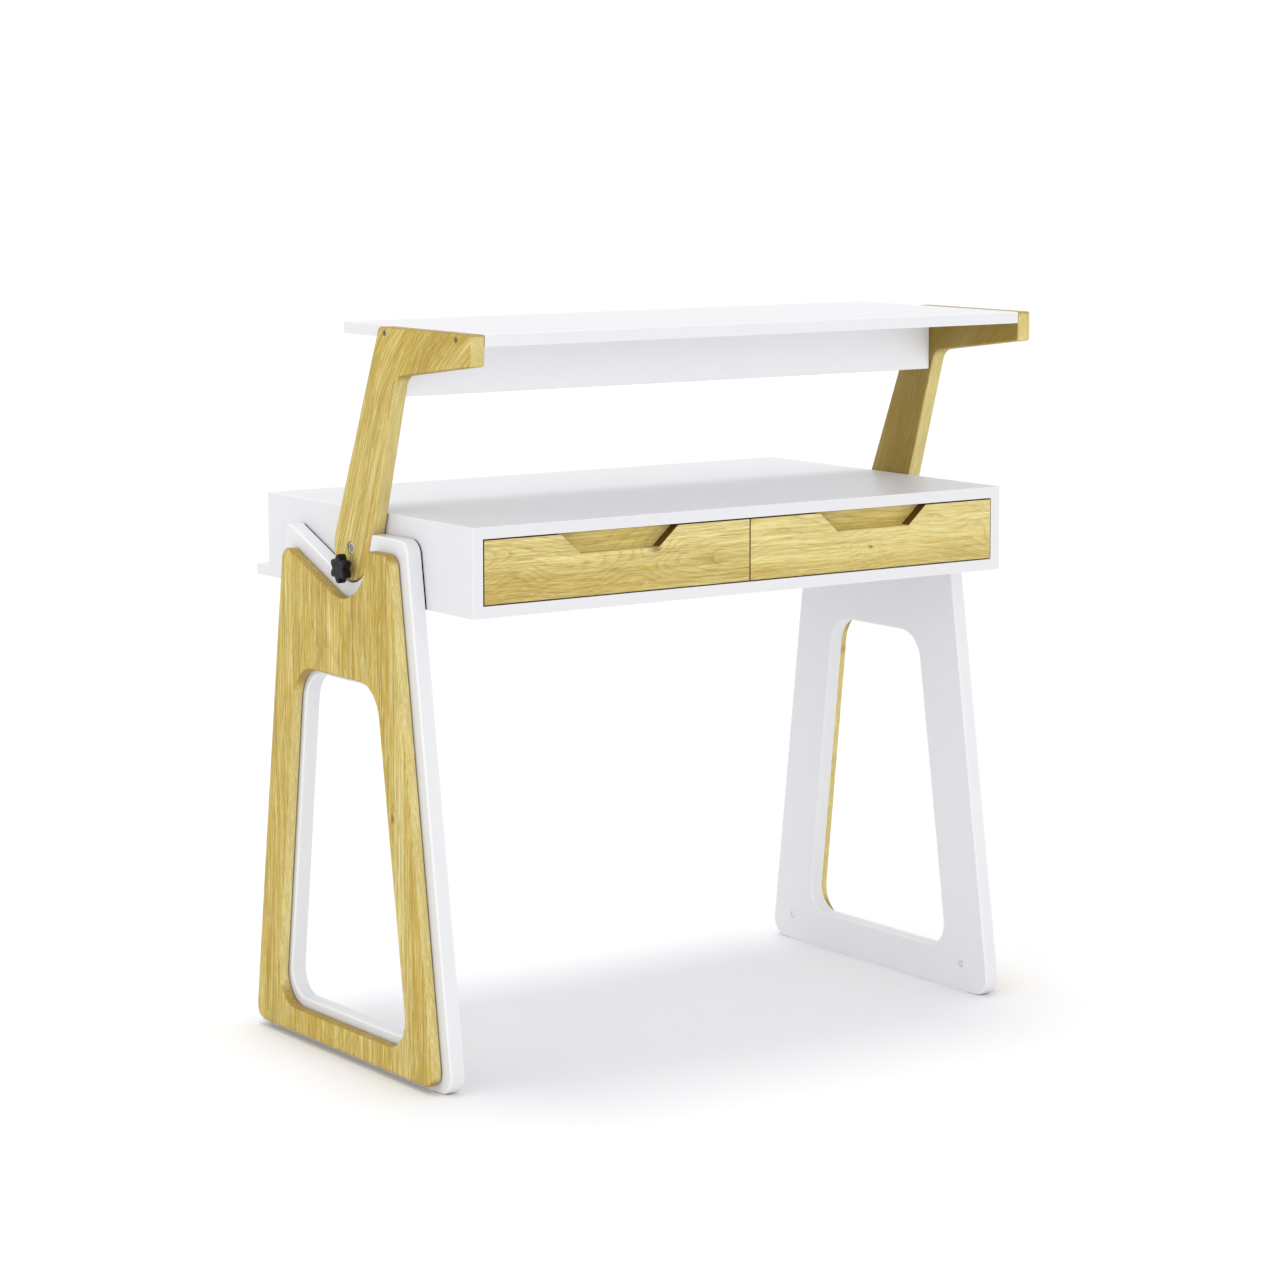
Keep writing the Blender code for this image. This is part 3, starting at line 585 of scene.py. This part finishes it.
# The box's lacquer is set lower than the other boards': painted shade.
CARCASS_SHADED_WHITE = 0.738
CARCASS_EASE = 0.0010
INSIDE_EASE = 0.0005
LAP = 0.005                 # how far a side is run into the board it meets, to join them
END_ROOM = 0.0001           # points this near to a side's end belong to it
DECIMALS = 6                # of a metre, so that the boards' shared faces lie in one plane

# Each lacquered board: its body, the width of its eased edges and how white it is. The levels also
# paint light: the apron's is set high for the front light on it.
WHITE_BOARDS = {
    "leg_panel_left": ("desk_frame", 0.0026, 0.760),
    "leg_panel_right": ("desk_frame", 0.0026, 0.760),
    "shelf_board": ("tilt_shelf", 0.0010, 0.752),
    # The apron's high level is painted front light.
    "shelf_apron": ("tilt_shelf", 0.0010, 0.91),
}


def carcass_board(name):
    """One board of the box, for joining. The ends of a side run on into the boards they meet."""
    ends = {}
    if "side" in name:
        low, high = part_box(name)
        ends[high.z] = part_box("carcass_top")[0].z + LAP
        ends[low.z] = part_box("carcass_bottom")[1].z - LAP
    shape = bmesh.new()
    shape.from_mesh(nodes[name].data)
    bmesh.ops.remove_doubles(shape, verts=shape.verts, dist=WELD)
    for vert in shape.verts:
        for end, moved in ends.items():
            if abs(vert.co.z - end) < END_ROOM:
                vert.co.z = moved
        vert.co = Vector(round(value, DECIMALS) for value in vert.co)
    board = bpy.data.objects.new("join_" + name, mesh_of("join_" + name, shape))
    bpy.context.scene.collection.objects.link(board)
    return board


def join_carcass():
    """The box's four boards as one lacquered body, because their joints are filled and sprayed."""
    boards = [carcass_board(name) for name in CARCASS]
    for other in boards[1:]:
        union = boards[0].modifiers.new("Join", "BOOLEAN")
        union.operation = "UNION"
        union.solver = "EXACT"
        union.object = other
    bpy.context.view_layer.update()
    evaluated = boards[0].evaluated_get(bpy.context.evaluated_depsgraph_get())
    shape = bmesh.new()
    shape.from_mesh(evaluated.to_mesh())
    evaluated.to_mesh_clear()
    for board in boards:
        bpy.data.objects.remove(board)
    return shape


def build_white():
    # The eased edges' lacquer is lighter than most boards': a painted edge highlight, glossier as
    # well.
    worn_highlit = lacquer("white_lacquer_edge", 40.0, worn_highlit=True)
    shape = join_carcass()
    ease(shape, CARCASS_EASE, 3)
    sprayed = lacquer("white_lacquer_carcass", 5.0, CARCASS_SHADED_WHITE)
    eased_piece("carcass_lacquered", shape, (sprayed, worn_highlit), "desk_frame", CARCASS)
    for i, name in enumerate(("carcass_back", "carcass_divider")):
        dress(name, lacquer("white_lacquer_" + name, 10.0 + 5.0 * i), INSIDE_EASE)
    for i, (name, (body, width, white)) in enumerate(WHITE_BOARDS.items()):
        sprayed = lacquer("white_lacquer_" + name, 20.0 + 5.0 * i, white)
        ease_board(name, body, width, sprayed, worn_highlit)


# ---- oak parts ------------------------------------------------------------------------------
FACING_EASE = 0.0038
ARM_EASE = 0.0032
DRAWER_EASE = 0.0006
ARM_LEAN = math.radians(19.6)       # the arms lean back this far from upright
ROUND_STEPS = 5

# Where each board lay in its log, and its knots: place along and across it, radius and darkness.
FACING_KNOTS = {"left": [(-0.003, -0.155, 0.005, 1.0)], "right": [(0.12, 0.14, 0.006, 1.0)]}
DRAWER_PITH = {"left": (0.004, 0.050), "right": (0.055, 0.100)}
DRAWER_KNOTS = {
    "left": [
        (0.065, 0.014, 0.007, 0.8),
        (-0.190, -0.004, 0.010, 0.25),
        (0.020, -0.020, 0.012, 0.0),
    ],
    "right": [
        (-0.005, -0.012, 0.0035, 1.0),
        (0.212, 0.012, 0.008, 0.2),
    ],
}


def round_oak(name, body, width, figure, edge_figure, **cut):
    """An oak board with well rounded edges, on which the growth rings show less."""
    face = oak("oak_" + name, figure=figure, **cut)
    edge = oak("oak_edge_" + name, figure=edge_figure, **cut)
    ease_board(name, body, width, face, edge, ROUND_STEPS)


def build_facing(i, side, sign):
    """The oak panel outside a leg, which touches the leg at its inner face."""
    name = "leg_facing_" + side
    low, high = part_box(name)
    half_thickness = (high.x - low.x) / 2
    # Painted shade along the facing's joint with the leg.
    round_oak(name, "desk_frame", FACING_EASE, 0.5, 0.35, centre=middle(name), along=Z, across=Y,
              pith=(0.02, 0.16 * sign), seed=11.0 + 17.0 * i, knots=FACING_KNOTS[side], tone=0.42,
              streak=1.15, pale_edges=0.42, end_grain=0.6, seam=half_thickness * sign)


def build_arm(i, side, sign):
    """A leaning arm, with painted shade on its inner face."""
    name = "arm_" + side
    along = Vector((0.0, -math.sin(ARM_LEAN), math.cos(ARM_LEAN)))
    across = Vector((0.0, along.z, -along.y))
    # The inner face gets painted shade, for the shade between desk and shelf.
    round_oak(name, "tilt_shelf", ARM_EASE, 0.45, 0.3, centre=middle(name), along=along,
              across=across, pith=(-0.03, 0.14), seed=57.0 + 13.0 * i, tone=0.05, pale_edges=0.42,
              end_grain=0.45, dark_face=(sign, 0.69), sweep=(0.05, 2.0))


def build_drawer_oak(i, side):
    """A drawer's front, the right one a little plainer, and the oak behind its finger cut-out."""
    front = "drawer_front_" + side
    low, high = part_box(front)
    half = (high - low) / 2
    # The front's end faces are painted very dark: painted shade on the walls of its cut-out.
    cut = oak("oak_" + front, middle(front), X, Z, DRAWER_PITH[side], 83.0 + 21.0 * i,
              knots=DRAWER_KNOTS[side], tone=-0.40 - 0.20 * i, figure=0.72 - 0.20 * i,
              streak=0.80 - 0.15 * i, pale=0.38 - 0.08 * i, end_grain=1.0,
              end_colour=OAK_END_PAINTED_SHADE, rim=(half.x, half.z))
    # The front's rim carries painted shade for the gap round the drawer.
    ease_board(front, "drawer_" + side, DRAWER_EASE, cut, segments=2)
    face = "drawer_face_" + side
    cut = oak("oak_" + face, middle(face), X, Z, (0.0, 0.09), 141.0 + 9.0 * i, tone=-0.15,
              figure=0.5, streak=0.6)
    dress(face, cut, DRAWER_EASE)


def build_oak():
    """Each board has its own cut of oak, with the grain along its length."""
    for i, (side, sign) in enumerate(SIDES.items()):
        build_facing(i, side, sign)
        build_arm(i, side, sign)
    for i, side in enumerate(SIDES):
        build_drawer_oak(i, side)


# ---- drawers --------------------------------------------------------------------------------
PLY_EASE = 0.0008
THIN_PLY_EASE = 0.0003
STRIP_EASE = 0.0002


def dress_drawers():
    """Birch ply boxes on zinc-plated runners."""
    for i, side in enumerate(SIDES):
        for part, along in (("wall_outer", Y), ("wall_inner", Y), ("back", X)):
            node = "drawer_%s_%s" % (part, side)
            dress(node, birch_ply("birch_" + node, along, Z, 3.0 * i), PLY_EASE)
        node = "drawer_bottom_" + side
        dress(node, birch_ply("birch_" + node, Y, X, 7.0 + i), THIN_PLY_EASE, 1)
        for place in ("outer", "inner"):
            steel = rolled_steel("steel_runner_%s_%s" % (place, side), Y, 4.0 * i)
            for part in ("channel", "slider"):
                dress("runner_%s_%s_%s" % (part, place, side), steel, STRIP_EASE, 1)


# ---- turned and moulded parts ---------------------------------------------------------------
TURNED_EDGE = math.radians(40)      # edges of a turned body that turn by more stay sharp
SCREW_STEPS = 72
KNOB_STEPS = 120
FULL_TURN = math.radians(360)


def ring_stack(name, side, y, z, rings, steps):
    """A closed body from rings (|x|, reach); a reach is a radius or a function of the angle."""
    shape = bmesh.new()
    loops = []
    for depth, reach in rings:
        loop = []
        for i in range(steps):
            angle = FULL_TURN * i / steps
            radius = reach(angle) if callable(reach) else reach
            place = (side * depth, y + radius * math.cos(angle), z + radius * math.sin(angle))
            loop.append(shape.verts.new(place))
        loops.append(loop)
    for first, second in zip(loops, loops[1:]):
        for i in range(steps):
            j = (i + 1) % steps
            shape.faces.new((first[i], first[j], second[j], second[i]))
    shape.faces.new(loops[0])
    shape.faces.new(loops[-1])
    bmesh.ops.recalc_face_normals(shape, faces=shape.faces)
    for face in shape.faces:
        face.smooth = True
    mesh = mesh_of(name, shape)
    mesh.set_sharp_from_angle(angle=TURNED_EDGE)
    return mesh


def hexagon(angle):
    """Reach of a hexagon of unit corner radius in a direction."""
    sixth = math.radians(60)
    return math.cos(sixth / 2) / math.cos(angle % sixth - sixth / 2)


def cross_recess(angle):
    """Reach of a cross with four rounded arms of unit length in a direction."""
    quarter = math.radians(90)
    half_arm = math.radians(13)
    inner_corner = 0.36
    steepness = 3.2
    off = abs((angle + quarter / 2) % quarter - quarter / 2)
    return max(inner_corner, 1.0 - steepness * max(0.0, off - half_arm))


# The two kinds of screw: the drive recess with its reach and depth, the shank's radius and the
# head's height.
ARM_SCREW = dict(recess=cross_recess, reach=0.0026, depth=0.0012, shank=0.0025, height=0.0030)
PIVOT_BOLT = dict(recess=hexagon, reach=0.0064, depth=0.0060, shank=0.0050, height=0.0050)


def build_screw(node, body, slot, colour, roughness, recess, reach, depth, shank, height):
    """A screw with a chamfered head, its drive recess and a threaded shank."""
    low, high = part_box(node)
    place = middle(node)
    side = 1 if place.x > 0 else -1
    tip, face = reach_sideways(node)
    head = (high.z - low.z) / 2
    pitch = 0.3 * shank
    rings = [
        (face - depth, lambda angle: 0.55 * reach * recess(angle)),
        (face - 0.15 * depth, lambda angle: 0.94 * reach * recess(angle)),
        (face, lambda angle: reach * recess(angle)),
        (face, 0.82 * head),
        (face - 0.0001, 0.90 * head),
        (face - 0.0005, head),
        (face - height, head),
        (face - height, shank),
    ]
    thread = face - height - pitch
    while thread > tip + pitch:
        rings += [(thread, shank), (thread - 0.5 * pitch, 0.86 * shank)]
        thread -= pitch
    rings.append((tip, 0.7 * shank))
    mesh = ring_stack(node + "_detailed", side, place.y, place.z, rings, SCREW_STEPS)
    mesh.materials.append(turned_metal("metal_" + node, place.y, place.z, colour, roughness))
    add_object(node + "_detailed", mesh, body, [node])


LOBES = 6
LOBE_SWING = 0.0031         # half the depth of the hollows between the lobes
LOBE_FULLNESS = 0.0004      # how much the lobes' flanks swell
DISH_INSET = 0.0045         # how far inside the lobes the round dish lies
KNOB_FILLET = 0.0030
FILLET_STEPS = 6
HUB_HEIGHT = 0.0035


def build_knob(side_name):
    """Moulded star knob: filleted lobes, a shallow dish with a plug in it, and its hub."""
    node = "knob_" + side_name
    low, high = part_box(node)
    place = middle(node)
    hub_face, out = reach_sideways(node)
    back = hub_face + HUB_HEIGHT
    largest = (high.z - low.z) / 2

    def star(inset, roundness=0.0):
        """The knob's outline set in by a distance, and made rounder by a share."""
        def reach(angle):
            wave = math.cos(LOBES * (angle - math.radians(90)))
            lobed = largest - LOBE_SWING * (1 - wave) + LOBE_FULLNESS * (1 - wave * wave) - inset
            return lobed + (largest - DISH_INSET - inset - lobed) * roundness
        return reach

    hub = [(hub_face, 0.0070), (hub_face, 0.0082), (hub_face + 0.0003, 0.0085),
           (back - 0.0006, 0.0098), (back, 0.0106)]
    underside = [(back, star(0.0016)), (back + 0.0004, star(0.0006)), (back + 0.0014, star(0.0))]
    fillet = []
    for i in range(FILLET_STEPS + 1):
        turn = math.radians(90) * i / FILLET_STEPS
        drop, inset = 1 - math.sin(turn), 1 - math.cos(turn)
        fillet.append((out - KNOB_FILLET * drop, star(KNOB_FILLET * inset)))
    dish = [(out, star(0.0042, 0.3)), (out, 0.0100), (out - 0.0001, 0.0086), (out - 0.0005, 0.0084)]
    plug = [(out - 0.0005, 0.0079), (out - 0.0001, 0.0076), (out, 0.0060), (out, 0.0030)]
    rings = hub + underside + fillet + dish + plug
    mesh = ring_stack(node + "_moulded", SIDES[side_name], place.y, place.z, rings, KNOB_STEPS)
    mesh.materials.append(moulded_plastic("black_knob_" + side_name, 8.0))
    add_object(node + "_moulded", mesh, "clamp_knob_" + side_name, [node])


HIDDEN_METAL = ("leg_bolt_%s_front", "leg_bolt_%s_rear", "pivot_nut_%s", "clamp_nut_%s",
                "knob_stud_%s")
METAL_EASE = 0.0004
CAP_EASE = 0.0005


def dress_fasteners():
    """Bolts, nuts, screws, their caps, the spacers and the knobs of both sides."""
    for side in SIDES:
        # The spacers are black, their own colour, and also stand in as painted shade for the gap
        # between each leg and the box.
        dress("leg_spacer_" + side, moulded_plastic("spacer_and_gap_shade_" + side, 4.0))
        for pattern in HIDDEN_METAL:
            node = pattern % side
            place = middle(node)
            zinc = turned_metal("metal_" + node, place.y, place.z, ZINC, (0.22, 0.36))
            dress(node, zinc, METAL_EASE)
        for end in ("front", "rear"):
            node = "facing_screw_%s_%s" % (side, end)
            dress(node, moulded_plastic("cap_" + node, 6.0, WHITE_CAP, (0.30, 0.42)), CAP_EASE)
            build_screw("shelf_screw_%s_%s" % (side, end), "tilt_shelf", "zinc_steel", DARK_ZINC,
                        (0.28, 0.42), **ARM_SCREW)
        build_screw("pivot_bolt_" + side, "desk_frame", "chrome", CHROME, (0.10, 0.20),
                    **PIVOT_BOLT)
        build_knob(side)


# ---- stage ----------------------------------------------------------------------------------
FLOOR_RADIUS = 60.0
FLOOR_STEPS = 96
FLOOR_GAP = 0.0002          # the floor lies this far below the desk's feet

SKY_COLOUR = (0.985, 0.988, 1.0, 1.0)
# The sky is brightest up to the first of these heights and fades towards the second, straight up.
SKY_FADE = {"From Min": 0.25, "From Max": 1.0, "To Min": 1.03, "To Max": 0.78}
# Each lamp: the direction of its rays, its spread in degrees and its strength.
LAMPS = {
    "overhead": ((0.0, -0.10, -1.0), 20.0, 0.80),
    "front_fill": ((0.15, 1.0, -0.16), 50.0, 0.50),
    "left_fill": ((1.0, 0.15, -0.45), 50.0, 0.30),
}

SENSOR_MM = 36.0
FOCAL_MM = 100.07
PICTURE_SHIFT = -0.14       # of the picture's width
CAMERA_PLACE = (-3.2367, -4.5968, 1.4368)
CAMERA_DOWN = 5.595         # degrees below level
CAMERA_TURN = -35.205       # degrees from looking straight at the desk's front
CAMERA_FAR = 200.0


def build_stage():
    shape = bmesh.new()
    bmesh.ops.create_circle(shape, cap_ends=True, radius=FLOOR_RADIUS, segments=FLOOR_STEPS)
    mesh = mesh_of("studio_floor", shape)
    mesh.materials.append(pale_floor("studio_floor"))
    floor = bpy.data.objects.new("studio_floor", mesh)
    floor.location = (0.0, 0.0, cad_low.z - FLOOR_GAP)
    bpy.context.scene.collection.objects.link(floor)


def build_sky():
    """A white sky that is brightest near the horizon."""
    world = bpy.data.worlds.new("studio")
    world.use_nodes = True
    tree = world.node_tree
    sky = tree.nodes["Background"]
    direction = tree.nodes.new("ShaderNodeTexCoord")
    split = tree.nodes.new("ShaderNodeSeparateXYZ")
    fade = tree.nodes.new("ShaderNodeMapRange")
    tree.links.new(direction.outputs["Generated"], split.inputs[0])
    tree.links.new(split.outputs["Z"], fade.inputs["Value"])
    tree.links.new(fade.outputs[0], sky.inputs["Strength"])
    for socket, value in SKY_FADE.items():
        fade.inputs[socket].default_value = value
    sky.inputs["Color"].default_value = SKY_COLOUR
    bpy.context.scene.world = world


def build_lamps():
    """A soft key from above and two weak fills."""
    for name, (rays, spread, strength) in LAMPS.items():
        lamp = bpy.data.lights.new(name, "SUN")
        lamp.energy = strength
        lamp.angle = math.radians(spread)
        light = bpy.data.objects.new(name, lamp)
        light.rotation_euler = Vector(rays).to_track_quat("-Z", "Y").to_euler()
        bpy.context.scene.collection.objects.link(light)


def build_camera():
    lens = bpy.data.cameras.new("camera")
    lens.sensor_width = SENSOR_MM
    lens.lens = FOCAL_MM
    lens.shift_y = PICTURE_SHIFT
    lens.clip_end = CAMERA_FAR
    camera = bpy.data.objects.new("camera", lens)
    camera.location = CAMERA_PLACE
    camera.rotation_euler = (math.radians(90.0 - CAMERA_DOWN), 0.0, math.radians(CAMERA_TURN))
    bpy.context.scene.collection.objects.link(camera)
    bpy.context.scene.camera = camera


build_white()
build_oak()
dress_drawers()
dress_fasteners()
build_stage()
build_sky()
build_lamps()
build_camera()
bpy.context.scene.view_settings.view_transform = "Standard"
